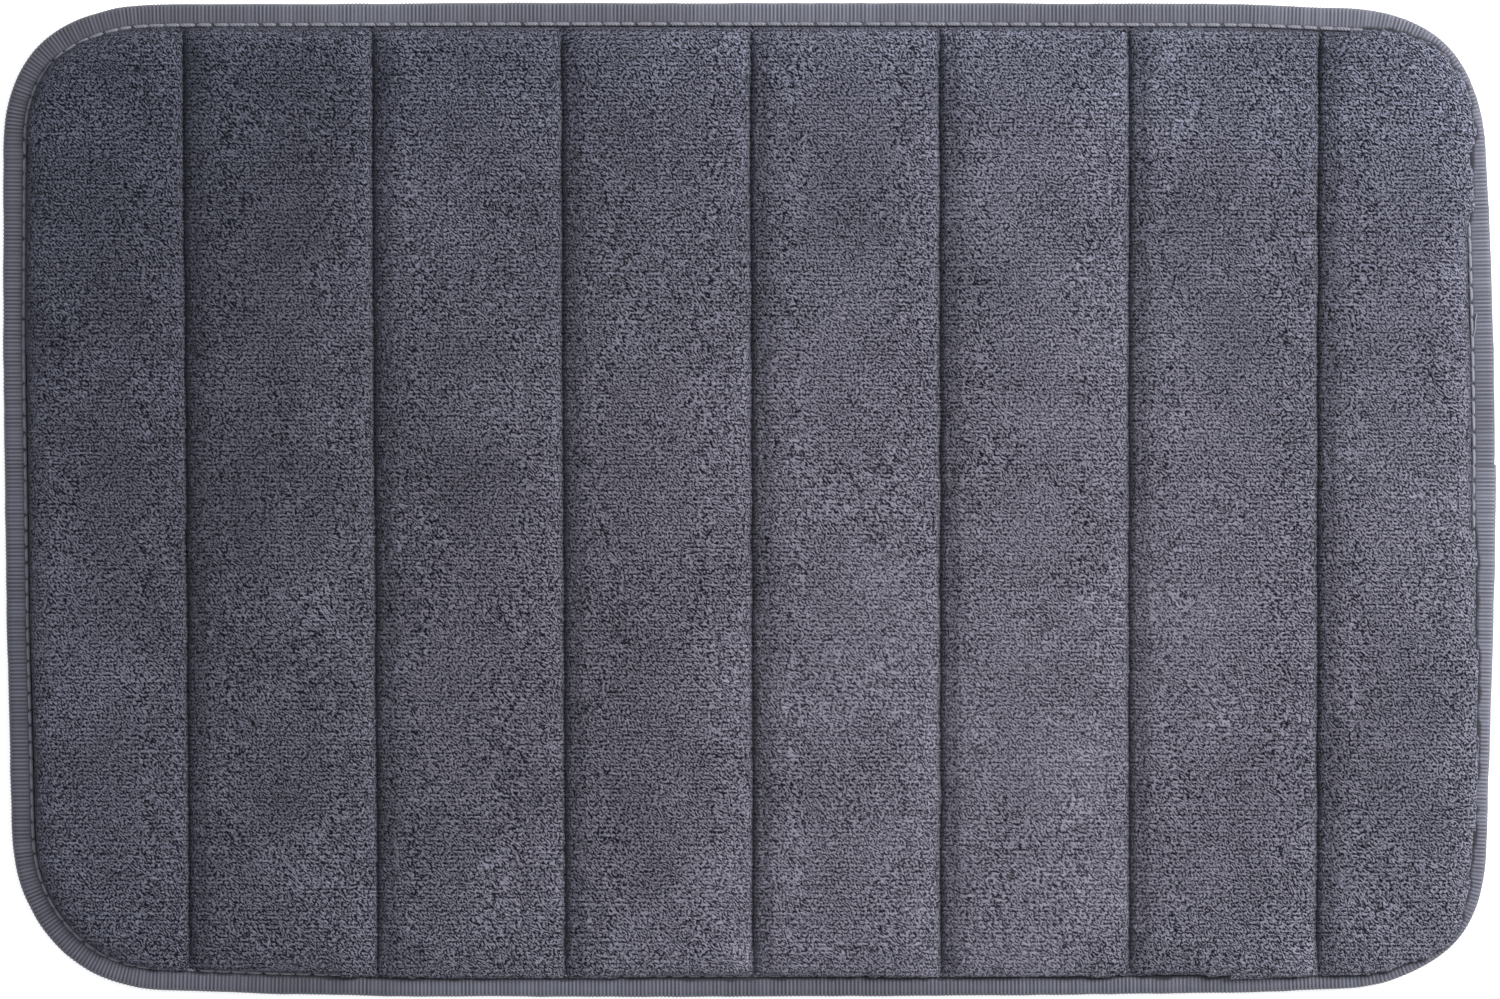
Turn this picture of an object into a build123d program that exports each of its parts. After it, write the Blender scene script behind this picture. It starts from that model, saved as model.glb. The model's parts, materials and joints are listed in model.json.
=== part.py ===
"""A quilted bath mat: pile cover, foam and scrim sewn together, over an anti-slip base, with a bound edge."""

import os
from math import asin, cos, sin

from build123d import *

# ---- Driving dimensions, in millimetres ----

# Plan: four slightly bowed sides, drawn to the corners that are then rounded.
top_left = (-300.35, 198.7)
top_right = (292.6, 198.9)
bottom_right = (292.8, -196.8)
bottom_left = (-295.2, -198.3)
top_middle = (20.0, 199.7)
right_middle = (299.4, 0.0)
bottom_middle = (-70.0, -199.7)
left_middle = (-298.65, 10.0)
corner_radii = {top_left: 54.0, top_right: 59.0, bottom_right: 58.0, bottom_left: 65.0}

# Layers, from the floor up.
tape_thickness = 0.8
base_thickness = 1.0
scrim_thickness = 0.3
rim_foam_thickness = 1.9
rim_cover_thickness = 1.4
cover_thickness = 2.0
crown_height = 13.0

# Edge: how far the tape reaches in, where it is sewn, and where the padding starts.
tape_leg = 10.0
seam_inset = 8.7
padding_inset = 10.3
padding_edge_radius = 6.8
foam_edge_gap = 0.3

# The tape's end lies over its beginning on the right side.
lap_top = 14.0
lap_length = 28.0
lap_thickness = 0.6

# Quilting seams: grooves across the mat that lean less and less from left to right. A groove's
# shoulders are arcs from a lip just over the crown down to a narrow land where the thread lies.
seam_count = 7
seam_pitch = 75.6
seam_offset = 1.4
first_seam_lean = 3.0
last_seam_lean = -0.6
groove_half_width = 14.0
groove_depth = 6.2
groove_land = 1.2
groove_lip = 0.06

# Threads: thickness, and the length of a stitch. A needle thread is pressed flat below, by a share
# of its radius, and its upright parts are pulled thinner.
quilt_thread = 0.5
quilt_stitch = 8.0
binding_thread = 0.7
binding_bobbin = 0.5
binding_stitch = 6.4
binding_thread_sink = 0.35
flat_share = 0.6
upright_share = 0.7
channel_clearance = 0.06

# Anti-slip dots: staggered rows printed under the base cloth.
dot_radius = 2.5
dot_pitch = 26.0
dot_taper = 30.0
dot_field_inset = 16.0

# Working sizes: how far a cutter runs past what it cuts, and the radius of a full round edge as a
# share of the height, a little under half so that its two fillets stay apart.
cut_clearance = 1.0
full_round_share = 0.499

# ---- Levels that follow from the layers ----
base_level = tape_thickness
scrim_level = base_level + base_thickness
foam_level = scrim_level + scrim_thickness
rim_foam_top = foam_level + rim_foam_thickness
rim_cover_top = rim_foam_top + rim_cover_thickness
rim_height = rim_cover_top + tape_thickness
groove_level = crown_height - groove_depth
groove_drop = groove_depth + groove_lip
groove_radius = (groove_half_width**2 + groove_drop**2) / (2 * groove_drop)
plan_depth = top_middle[1] - bottom_middle[1]
needle_thread_level = rim_height - binding_thread_sink


def plan_outline(inset=0.0):
    """The mat's plan, drawn in by inset all round."""
    with BuildSketch() as plan:
        with BuildLine():
            ThreePointArc(top_left, top_middle, top_right)
            ThreePointArc(top_right, right_middle, bottom_right)
            ThreePointArc(bottom_right, bottom_middle, bottom_left)
            ThreePointArc(bottom_left, left_middle, top_left)
        make_face()
        for corner, radius in corner_radii.items():
            fillet(plan.vertices().sort_by_distance(corner)[0], radius)
        if inset:
            offset(amount=-inset)
    return plan.sketch


def layer(level, thickness, inset):
    """A flat slab with the mat's plan, drawn in by inset."""
    with BuildPart() as slab:
        with BuildSketch(Plane.XY.offset(level)):
            add(plan_outline(inset))
        extrude(amount=thickness)
    return slab.part


def band(inset, width, bottom, top):
    """A flat band of the given width that follows the plan at inset."""
    with BuildPart() as strip:
        add(layer(bottom, top - bottom, inset - width / 2))
        add(layer(bottom, top - bottom, inset + width / 2), mode=Mode.SUBTRACT)
    return strip.part


# ---- Quilting seams: their lines and the shape of the padding ----


def seam_direction(number):
    """The way a quilting seam runs, from the top of the plan to the bottom."""
    lean = first_seam_lean + (last_seam_lean - first_seam_lean) * (number - 1) / (seam_count - 1)
    return Vector(lean, -plan_depth, 0).normalized()


def seam_point(number, y, z):
    """The point of a quilting seam at y and z; seams are numbered from 1 at the left."""
    middle = seam_offset + (number - (seam_count + 1) / 2) * seam_pitch
    direction = seam_direction(number)
    return Vector(middle + y * direction.X / direction.Y, y, z)


def groove_cutter(number, cloth):
    """What a groove takes out of the padding, where cloth is the thickness of cloth over the foam."""
    radius = groove_radius - cover_thickness + cloth
    centre_x = groove_half_width + groove_land / 2
    centre_z = crown_height + groove_lip - groove_radius
    steepest = asin(groove_half_width / radius)

    def shoulder(angle, side):
        return (side * (centre_x - radius * sin(angle)), centre_z + radius * cos(angle))

    section_plane = Plane(origin=seam_point(number, plan_depth, 0), x_dir=(1, 0, 0), z_dir=(0, -1, 0))
    with BuildPart() as cutter:
        with BuildSketch(section_plane):
            with BuildLine():
                ThreePointArc(*[shoulder(share * steepest, 1) for share in (0, 0.5, 1)])
                Line(shoulder(steepest, 1), shoulder(steepest, -1))
                ThreePointArc(*[shoulder(share * steepest, -1) for share in (1, 0.5, 0)])
                Polyline(
                    shoulder(0, -1),
                    (-centre_x, crown_height + cut_clearance),
                    (centre_x, crown_height + cut_clearance),
                    shoulder(0, 1),
                )
            make_face()
        extrude(amount=2 * plan_depth, dir=seam_direction(number))
    return cutter.part


def padding(cloth):
    """The quilted padding with a given thickness of cloth over the foam."""
    with BuildPart() as block:
        with BuildSketch(Plane.XY.offset(foam_level)):
            add(plan_outline(padding_inset + cover_thickness - cloth))
        extrude(amount=crown_height - cover_thickness + cloth - foam_level)
        fillet(block.edges().group_by(Axis.Z)[-1], padding_edge_radius - cover_thickness + cloth)
        for number in range(1, seam_count + 1):
            add(groove_cutter(number, cloth), mode=Mode.SUBTRACT)
    return block.part


# ---- Where the needles go through ----


def quilt_stitch_points(number):
    """The needle's points along a quilting seam, as far as the padding's edge."""
    reach = plan_depth / 2 - padding_inset - quilt_stitch / 2
    steps = int(2 * reach / quilt_stitch)
    return [seam_point(number, (step - steps / 2) * quilt_stitch, 0) for step in range(steps + 1)]


def binding_stitch_points():
    """The needle's points along the binding seam."""
    line = plan_outline(seam_inset).wire()
    count = round(line.length / binding_stitch)
    return [line.position_at(step / count) for step in range(count)]


def uprights(points, radius, bottom, top):
    """Upright round pins at the given points: thread, or the holes that it goes through."""
    with BuildPart() as pins:
        with BuildSketch(Plane.XY.offset(bottom)):
            with Locations(*points):
                Circle(radius)
        extrude(amount=top - bottom)
    return pins.part


def needle_holes():
    """The holes of every seam, through all the layers that the seam joins."""
    quilt_points = []
    for number in range(1, seam_count + 1):
        quilt_points += quilt_stitch_points(number)
    with BuildPart() as drills:
        add(uprights(quilt_points, quilt_thread / 2, scrim_level, crown_height))
        add(uprights(binding_stitch_points(), binding_thread / 2, -cut_clearance, crown_height))
    return drills.part


def straight_thread(number, centre_level, flat_level):
    """A thread along a whole quilting seam, round above and pressed flat at flat_level."""
    points = quilt_stitch_points(number)
    along = points[-1] - points[0]
    sideways = Vector(0, 0, 1).cross(along)
    start = points[0] + Vector(0, 0, centre_level)
    with BuildPart() as thread:
        with BuildSketch(Plane(origin=start, x_dir=sideways, z_dir=along)):
            Circle(quilt_thread / 2)
            with Locations((0, flat_level - centre_level)):
                Rectangle(quilt_thread, quilt_thread, align=(Align.CENTER, Align.MAX), mode=Mode.SUBTRACT)
        extrude(amount=along.length)
    return thread.part


# ---- The pieces ----


def finish(piece, name):
    """Labels a finished piece and writes it."""
    piece.part.label = name
    export_step(piece.part, f"parts/{name}.step")
    print(name, round(piece.part.volume, 1), len(piece.part.solids()))


def rounded_rim(level, height, inset):
    """A slab with the mat's plan and a full round edge."""
    with BuildPart() as slab:
        add(layer(level, height, inset))
        levels = slab.edges().group_by(Axis.Z)
        fillet(levels[0] + levels[-1], full_round_share * height)
    return slab.part


def quilt_bobbin_channel(number):
    """A channel in the base cloth for the under thread of a quilting seam."""
    plane = Plane(
        origin=seam_point(number, 0, scrim_level - quilt_thread / 2),
        x_dir=(0, 0, 1),
        z_dir=seam_direction(number),
    )
    with BuildPart() as channel:
        with BuildSketch(plane):
            Rectangle(quilt_thread, quilt_thread + 2 * channel_clearance)
        extrude(amount=plan_depth / 2 - padding_inset, both=True)
    return channel.part


def dot_places():
    """Staggered rows of dots, as far as they are whole inside the binding."""
    field = plan_outline(dot_field_inset).face()
    columns = int(abs(bottom_left[0]) / dot_pitch) + 1
    rows = int(plan_depth / 2 / dot_pitch) + 1
    places = []
    for shift in (0, dot_pitch / 2):
        for column in range(-columns, columns):
            for row in range(-rows, rows):
                place = Vector(column * dot_pitch + shift, row * dot_pitch + shift, 0)
                if field.is_inside(place):
                    places.append(place)
    return places


os.makedirs("parts", exist_ok=True)
holes = needle_holes()

with BuildPart() as foam_core:
    add(layer(foam_level, rim_foam_thickness, tape_thickness + foam_edge_gap))
    add(padding(cloth=0))
    solid_foam = foam_core.part
    add(holes, mode=Mode.SUBTRACT)
finish(foam_core, "foam_core")

with BuildPart() as pile_cover:
    add(layer(rim_foam_top, rim_cover_thickness, rim_height / 2))
    add(padding(cloth=cover_thickness))
    add(layer(foam_level, rim_foam_thickness, 0), mode=Mode.SUBTRACT)
    add(solid_foam, mode=Mode.SUBTRACT)
    add(holes, mode=Mode.SUBTRACT)
finish(pile_cover, "pile_cover")

with BuildPart() as quilting_scrim:
    add(layer(scrim_level, scrim_thickness, rim_height / 2))
    add(holes, mode=Mode.SUBTRACT)
finish(quilting_scrim, "quilting_scrim")

with BuildPart() as anti_slip_base:
    add(layer(base_level, base_thickness, rim_height / 2))
    for number in range(1, seam_count + 1):
        add(quilt_bobbin_channel(number), mode=Mode.SUBTRACT)
    add(holes, mode=Mode.SUBTRACT)
finish(anti_slip_base, "anti_slip_base")

with BuildPart() as anti_slip_dots:
    with BuildSketch(Plane.XY.offset(base_level)):
        with Locations(*dot_places()):
            Circle(dot_radius)
    extrude(amount=-base_level, taper=dot_taper)
finish(anti_slip_dots, "anti_slip_dots")

with BuildPart() as binding_tape:
    with BuildSketch(Plane.XY.offset(-cut_clearance)):
        with Locations((right_middle[0], lap_top - lap_length / 2)):
            Rectangle(2 * (tape_leg + cut_clearance), lap_length)
    extrude(amount=rim_height + 2 * cut_clearance)
    add(rounded_rim(0, rim_height + lap_thickness, -lap_thickness), mode=Mode.INTERSECT)
    add(rounded_rim(0, rim_height, 0))
    add(rounded_rim(base_level, rim_cover_top - base_level, tape_thickness), mode=Mode.SUBTRACT)
    add(layer(-cut_clearance, rim_height + 2 * cut_clearance, tape_leg), mode=Mode.SUBTRACT)
    channel_width = binding_thread + 2 * channel_clearance
    add(band(seam_inset, channel_width, needle_thread_level, rim_height + cut_clearance), mode=Mode.SUBTRACT)
    add(band(seam_inset, channel_width, -cut_clearance, binding_bobbin), mode=Mode.SUBTRACT)
    add(holes, mode=Mode.SUBTRACT)
finish(binding_tape, "binding_tape")

with BuildPart() as binding_needle_thread:
    thread_top = needle_thread_level + (1 + flat_share) * binding_thread / 2
    add(band(seam_inset, binding_thread, needle_thread_level, thread_top))
    fillet(binding_needle_thread.edges().group_by(Axis.Z)[-1], upright_share * binding_thread / 2)
    leg_radius = upright_share * binding_thread / 2
    add(uprights(binding_stitch_points(), leg_radius, binding_bobbin, needle_thread_level))
finish(binding_needle_thread, "binding_needle_thread")

with BuildPart() as binding_bobbin_thread:
    bobbin_path = plan_outline(seam_inset).wire().moved(Location((0, 0, binding_bobbin / 2)))
    with BuildSketch(Plane(origin=bobbin_path.position_at(0), z_dir=bobbin_path.tangent_at(0))):
        Circle(binding_bobbin / 2)
    sweep(path=bobbin_path)
finish(binding_bobbin_thread, "binding_bobbin_thread")

for number in range(1, seam_count + 1):
    with BuildPart() as quilt_needle_thread:
        add(straight_thread(number, groove_level + flat_share * quilt_thread / 2, groove_level))
        leg_radius = upright_share * quilt_thread / 2
        add(uprights(quilt_stitch_points(number), leg_radius, scrim_level, groove_level))
    finish(quilt_needle_thread, f"quilt_needle_thread_{number}")

    with BuildPart() as quilt_bobbin_thread:
        add(straight_thread(number, scrim_level - quilt_thread / 2, scrim_level - quilt_thread))
    finish(quilt_bobbin_thread, f"quilt_bobbin_thread_{number}")
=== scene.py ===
"""The looks of the quilted bath mat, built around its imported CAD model."""

import json
import math

import bpy
import numpy as np
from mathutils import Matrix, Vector

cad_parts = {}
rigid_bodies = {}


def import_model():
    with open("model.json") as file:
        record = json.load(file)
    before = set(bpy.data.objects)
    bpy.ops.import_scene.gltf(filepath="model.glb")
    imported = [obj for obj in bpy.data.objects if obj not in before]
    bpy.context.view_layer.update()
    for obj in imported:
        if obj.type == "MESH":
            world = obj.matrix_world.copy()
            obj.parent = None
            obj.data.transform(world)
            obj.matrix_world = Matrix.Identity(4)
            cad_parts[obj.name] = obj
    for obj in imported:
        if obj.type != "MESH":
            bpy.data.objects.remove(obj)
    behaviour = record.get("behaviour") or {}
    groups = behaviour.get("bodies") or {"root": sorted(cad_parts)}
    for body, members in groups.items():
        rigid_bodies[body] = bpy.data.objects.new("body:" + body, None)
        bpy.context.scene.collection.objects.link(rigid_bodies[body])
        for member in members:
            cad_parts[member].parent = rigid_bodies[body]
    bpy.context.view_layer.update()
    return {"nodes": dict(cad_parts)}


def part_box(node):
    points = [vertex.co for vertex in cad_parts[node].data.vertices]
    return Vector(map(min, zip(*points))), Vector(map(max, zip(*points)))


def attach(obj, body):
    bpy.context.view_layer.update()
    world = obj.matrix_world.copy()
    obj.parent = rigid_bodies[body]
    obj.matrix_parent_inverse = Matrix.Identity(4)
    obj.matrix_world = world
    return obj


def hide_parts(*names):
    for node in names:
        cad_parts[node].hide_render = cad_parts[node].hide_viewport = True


mm = 0.001

# ---- Dimensions in millimetres. The plan and the levels come from the frame. ----

seam_count = 7
quilt_stitch = 8.0
quilt_stitch_shown = 6.4
binding_stitch = 6.4
binding_stitch_shown = 5.9
seam_inset = 8.7

# Pile: the knit rows, the tufts along a row, and how far a tuft stands up. The tufts' scatter along
# and across a row, their reach and every second row's shift are in pitches.
row_pitch = 1.755
tuft_pitch = 2.0
tuft_height = 0.42
tuft_scatter = 0.42
row_scatter = 0.20
tuft_reach = 0.742857
tuft_lean = 0.55
row_shift = 0.25

# The pile cloth's thickness on the panels, and at its rim under the tape.
cover_thickness = 2.0
rim_thickness = 1.25

# Padding: how a panel domes, and how it rounds off at its seams and at the mat's edge. The cover
# goes on below the tape to hidden_inset, at hidden_level.
pad_rise = 0.35
panel_dome = 0.5
dome_reach = 14.0
pucker_reach = 7.0
shoulder_depth = 3.3
shoulder_reach = 5.8
crease_depth = 3.0
crease_reach = 1.0
pad_start = 10.0
pad_round = 12.0
pad_lift = 0.25
hidden_inset = 5.0
hidden_level = 5.25
panel_height = pad_rise - panel_dome

# Layers below: how far each lies in from the edge, and the foam's gaps to the cover and the scrim.
foam_inset = 1.4
flat_inset = 3.3
foam_gap_above = 0.08
foam_gap_below = 0.05

# Grids: the cover's rows and columns, how many of them a row or column of its back stands for, and
# how much closer the columns are at a seam, as a share of their mean distance.
rows_per_pitch = 3
columns_per_panel = 120
coarse_share = 4
column_bunching = 0.2
foam_row_step = 4 * row_pitch
flat_columns = 20
flat_row_step = 6 * row_pitch

# Unevenness as layers of smooth noise: each has a height, a cell's size (across and up, or only
# along a line) and a random seed. Each quilting seam adds its number to its seeds.
pad_swell = ((0.22, 46, 38, 1), (0.14, 17, 15, 2))
pad_pucker = ((0.35, 30, 5.5, 3),)
cloth_swell = ((0.03, 12, 12, 31),)
knit_drift_across = ((0.5, 6, 5, 11), (0.3, 2.2, 2.2, 12))
knit_drift_upward = ((0.3, 7, 5, 13), (0.25, 2.2, 1.8, 14))
nap_patches = ((0.10, 44, 38, 21), (0.08, 17, 15, 22))
seam_wobble = ((0.22, 17, 40), (0.12, 6, 60))
bulge_waves = ((1.0, 3.4, 7), (0.7, 9, 8))
tape_wander = ((0.20, 31, 53), (0.10, 7, 54))
rib_drift = ((0.9, 30, 51),)
rib_strength = ((0.35, 2.3, 52),)
rib_specks = ((0.15, 1.3, 55),)
tape_patches = ((0.2, 60, 56),)

# Tape: its ribs, its round edge, where its legs end, and how it puffs up beside the stitches,
# which press it down. Its end laps over its beginning at lap_level on the right.
rib_pitch = 1.546
rib_height = 0.13
sections_per_rib = 5
tape_thickness = 0.8
tape_leg = 9.5
tape_rows = (9.5, 9.3, 9.05, 8.8, 8.5, 8.2, 7.8, 7.2, 6.5, 5.8, 5.1, 4.4, 3.7)
stitch_dip = 0.32
tape_puff = 0.22
lap_level = 14.0
lap_thickness = 0.5
lap_fade = 80.0

# Threads: each ply's offset from the thread's middle, its radius and the length of its turn; and
# the loose tail's course.
binding_ply = (0.36, 0.46, 2.2)
tail_ply = (0.16, 0.2, 2.1)
quilt_ply = (0.13, 0.16, 1.8)
under_thread_radius = 0.21
tail_points = (
    (290.6, 64.5, 6.1),
    (290.9, 66.5, 6.9),
    (291.5, 69.0, 7.1),
    (291.3, 71.5, 7.1),
    (292.0, 74.4, 6.9),
)
tail_length = 10.5

# How far a binding stitch's ends are off their even places, as a share of the way round the mat.
stitch_scatter = 0.0003

# How far the pile bulges over the tape, by the place on the mat's outline.
pile_bulges = (
    ((-200, 200), 0.3),
    ((150, 200), 0.4),
    ((235, 198), 0.5),
    ((262, 186), 4.2),
    ((283, 160), 6.4),
    ((294, 128), 3.0),
    ((297, 105), 0.6),
    ((299, 5), 0.6),
    ((299, -25), 2.6),
    ((297, -90), 3.8),
    ((291, -155), 4.4),
    ((278, -178), 6.8),
    ((255, -190), 5.6),
    ((205, -198), 2.8),
    ((60, -200), 2.2),
    ((-60, -200), 2.4),
    ((-200, -199), 2.0),
    ((-262, -190), 1.4),
    ((-288, -160), 0.6),
    ((-298, -100), 0.4),
    ((-298, 100), 0.4),
    ((-282, 178), 1.2),
)

# How far the soft edge lies outside the cut plan, or inside it, by the place on the outline.
edge_drifts = (
    ((200, -198), 0.0),
    ((240, -198), -1.3),
    ((262, -192), -0.9),
    ((285, -173), 2.2),
    ((296, -148), 0.0),
    ((297, 110), 0.3),
    ((295, 150), -0.2),
    ((278, 182), 1.8),
    ((258, 195), -0.6),
    ((241, 199), -1.8),
    ((200, 199), -0.2),
    ((-235, 199), 0.0),
    ((-262, 196), -1.4),
    ((-288, 179), 0.4),
    ((-299, 150), -0.8),
    ((-299, 60), 0.5),
    ((-299, -60), 0.3),
    ((-296, -142), -0.5),
    ((-266, -189), 0.0),
    ((-235, -199), -2.1),
    ((-190, -199), -0.5),
    ((-150, -199), 0.0),
)

# Painted light on the pile's tone: across the mat, darker to the left, away from the light; and how much
# darker towards the top.
painted_light_across = (
    (-280, 0.25),
    (-200, 0.24),
    (-128, 0.36),
    (-60, 0.42),
    (40, 0.59),
    (117, 0.63),
    (193, 0.50),
    (290, 0.48),
)
darker_upward = ((-200, -0.05), (0, 0.0), (200, 0.14))

# Where less light reaches the pile, how much less, and how far that goes: in the crease at the
# edge, on the left lip of a groove, and on the slope to the right of it.
edge_shade = 0.92
edge_shade_reach = 6.0
lip_shade = 0.6
lip_shade_reach = 1.5
slope_shade = 0.3
slope_shade_place = 5.5
slope_shade_reach = 2.8

# Where the nap lies flatter and looks darker: centre, size and strength.
dark_patches = (
    ((-277, 68), 30, 0.12),
    ((-272, 120), 26, 0.15),
    ((-250, 176), 34, 0.10),
    ((-268, 32), 26, 0.14),
    ((-190, 92), 50, 0.06),
    ((-200, 10), 60, 0.07),
    ((-108, 4), 34, 0.08),
    ((60, 110), 90, 0.10),
)

# How many cells of noise, or tufts, lie to the left of the mat's middle and below it. None on the
# mat then has a number under 0.
cells_before = 5000

for leftover in list(bpy.data.objects):
    bpy.data.objects.remove(leftover)
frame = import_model()
nodes = frame["nodes"]


# ---- Numbers out of the frame ----


def node_points(name):
    """The corner points of a CAD node's mesh, in millimetres."""
    vertices = nodes[name].data.vertices
    flat = np.zeros(3 * len(vertices), np.float32)
    vertices.foreach_get("co", flat)
    return flat.reshape(-1, 3).astype(float) / mm


def convex_hull(points):
    """The corners of the convex outline round flat points, anticlockwise."""
    ordered = [tuple(p) for p in np.unique(points.round(3), axis=0)]

    def half(sequence):
        chain = []
        for x, y in sequence:
            while len(chain) > 1:
                (ax, ay), (bx, by) = chain[-2:]
                if (bx - ax) * (y - ay) - (by - ay) * (x - ax) > 0:
                    break
                chain.pop()
            chain.append((x, y))
        return chain[:-1]

    return np.array(half(ordered) + half(reversed(ordered)))


def values_round(ring, marks, share):
    """Values given at marks near a ring of points, filled in at each share of the way round it."""
    nearest = [np.hypot(*(ring - np.array(place)).T).argmin() / len(ring) for place, _ in marks]
    order = np.argsort(nearest)
    values = np.array([value for _, value in marks])
    return np.interp(share, np.array(nearest)[order], values[order], period=1)


def outward_directions(ring):
    """The outward directions of a clockwise ring of points."""
    along = np.roll(ring, -1, axis=0) - np.roll(ring, 1, axis=0)
    outward = np.column_stack([-along[:, 1], along[:, 0]])
    return outward / np.linalg.norm(outward, axis=1)[:, None]


def smoothed(ring, passes):
    """A ring of values, each averaged with its neighbours a number of times."""
    for _ in range(passes):
        ring = (np.roll(ring, 1, axis=0) + 2 * ring + np.roll(ring, -1, axis=0)) / 4
    return ring


def started_at_lap(ring):
    """The same ring of points, started at the one on the right that is nearest to the tape's end."""
    from_lap = np.where(ring[:, 0] < 0, np.inf, np.abs(ring[:, 1] - lap_level))
    return np.roll(ring, -from_lap.argmin(), axis=0)


def mat_outline():
    """The mat's outline, clockwise from the tape's end, a point every millimetre, and the way out."""
    hull = started_at_lap(convex_hull(node_points("anti_slip_base")[:, :2])[::-1])
    closed = np.vstack([hull, hull[:1]])
    travel = np.concatenate([[0], np.cumsum(np.hypot(*np.diff(closed, axis=0).T))])
    places = np.linspace(0, travel[-1], int(travel[-1]), endpoint=False)
    ring = np.column_stack([np.interp(places, travel, closed[:, axis]) for axis in (0, 1)])
    ring = smoothed(started_at_lap(ring), 12)
    ring = ring + base_inset * outward_directions(ring)
    drift = smoothed(values_round(ring, edge_drifts, np.arange(len(ring)) / len(ring)), 60)
    ring = ring + drift[:, None] * outward_directions(ring)
    return ring, outward_directions(ring)


crown_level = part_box("pile_cover")[1].z / mm
base_inset = (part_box("binding_tape")[1].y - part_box("anti_slip_base")[1].y) / mm
tape_level = 2 * base_inset
groove_level = crown_level + panel_height - shoulder_depth - crease_depth

outline, outline_outward = mat_outline()
outline_share = np.arange(len(outline)) / len(outline)
outline_length = np.hypot(*(outline - np.roll(outline, 1, axis=0)).T).sum()


def on_outline(share, inset):
    """Points at a share of the way round the outline, drawn in by inset, and their outward directions."""

    def round_ring(ring):
        return np.stack([np.interp(share, outline_share, ring[:, axis], period=1) for axis in (0, 1)], -1)

    outward = round_ring(outline_outward)
    outward /= np.linalg.norm(outward, axis=-1)[..., None]
    return round_ring(outline) - np.asarray(inset)[..., None] * outward, outward


def edge_lookup(x, y, mark_step=4, batch=20000):
    """For each point, its distance inside the outline and the share of the outline nearest to it.

    Only every mark_step-th point of the outline is tried, for a batch of points at a time.
    """
    marks = np.arange(0, len(outline), mark_step)
    normals = outline_outward[marks].T.astype(np.float32)
    reach = (outline[marks] * outline_outward[marks]).sum(1).astype(np.float32)
    points = np.column_stack([x.ravel(), y.ravel()]).astype(np.float32)
    inset = np.empty(len(points))
    share = np.empty(len(points))
    for start in range(0, len(points), batch):
        part = slice(start, start + batch)
        gaps = reach - points[part] @ normals
        nearest = gaps.argmin(1)
        inset[part] = gaps[np.arange(len(nearest)), nearest]
        share[part] = outline_share[marks[nearest]]
    return inset.reshape(x.shape), share.reshape(x.shape)


def value_noise(x, y, cell_x, cell_y, seed):
    """Smooth random values from -1 to 1 that change over about cell_x by cell_y."""
    size = 256
    table = np.random.default_rng(seed).uniform(-1, 1, (size, size))
    across = x / cell_x + cells_before
    up = y / cell_y + cells_before
    column = np.floor(across).astype(int)
    row = np.floor(up).astype(int)
    u = across - column
    v = up - row
    u = u * u * (3 - 2 * u)
    v = v * v * (3 - 2 * v)

    def corner(right, above):
        return table[(row + above) % size, (column + right) % size]

    near = corner(0, 0) * (1 - u) + corner(1, 0) * u
    far = corner(0, 1) * (1 - u) + corner(1, 1) * u
    return near * (1 - v) + far * v


def layered_noise(x, y, layers):
    """Layers of smooth noise added up, each from its height, cell's width and height, and seed."""
    return sum(height * value_noise(x, y, *layer) for height, *layer in layers)


def line_noise(t, layers):
    """Layers of smooth noise along a line, each from its height, cell's length and seed."""
    return layered_noise(t, 0 * t, [(height, cell, 1, seed) for height, cell, seed in layers])


def fit_seam(number):
    """The straight line x = start + slope * y along a quilting seam's CAD thread."""
    points = node_points(f"quilt_needle_thread_{number}")
    slope, start = np.polyfit(points[:, 1], points[:, 0], 1)
    return start, slope


seam_lines = [fit_seam(number) for number in range(1, seam_count + 1)]


def seam_x(number, y):
    """Where a quilting seam is at y: the CAD's line with a slight hand-made wobble."""
    start, slope = seam_lines[number - 1]
    layers = [(height, length, seed + number) for height, length, seed in seam_wobble]
    return start + slope * y + line_noise(y, layers)


# ---- Meshes ----


def new_piece(name, points, faces, material, replaces, attributes=None):
    """A named piece from points in millimetres and arrays of faces; it replaces CAD nodes."""
    mesh = bpy.data.meshes.new(name)
    points = np.asarray(points, np.float32).reshape(-1, 3)
    mesh.vertices.add(len(points))
    mesh.vertices.foreach_set("co", (points * mm).ravel())
    corners = np.concatenate([np.asarray(group, np.int32).ravel() for group in faces])
    sizes = np.concatenate([np.full(len(group), np.asarray(group).shape[1]) for group in faces])
    mesh.loops.add(len(corners))
    mesh.loops.foreach_set("vertex_index", corners)
    mesh.polygons.add(len(sizes))
    mesh.polygons.foreach_set("loop_start", np.concatenate([[0], np.cumsum(sizes)[:-1]]).astype(np.int32))
    mesh.update(calc_edges=True)
    if mesh.validate():
        raise ValueError(f"{name}: a face is not valid")
    mesh.shade_smooth()
    for key, values in (attributes or {}).items():
        layer = mesh.attributes.new(key, "FLOAT", "POINT")
        layer.data.foreach_set("value", np.asarray(values, np.float32).ravel())
    mesh.materials.append(material)
    piece = bpy.data.objects.new(name, mesh)
    bpy.context.scene.collection.objects.link(piece)
    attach(piece, "root")
    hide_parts(*replaces)
    return piece


def grid_quads(rows, columns, first=0):
    """The faces of a grid of points, rows by columns, that look up."""
    corner = first + np.arange(rows - 1)[:, None] * columns + np.arange(columns - 1)
    return np.stack([corner, corner + 1, corner + columns + 1, corner + columns], -1).reshape(-1, 4)


def grid_border(rows, columns, first=0):
    """The border points of a grid, anticlockwise from its first corner."""
    index = first + np.arange(rows * columns).reshape(rows, columns)
    return np.concatenate([index[0, :-1], index[:-1, -1], index[-1, :0:-1], index[:0:-1, 0]])


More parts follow.
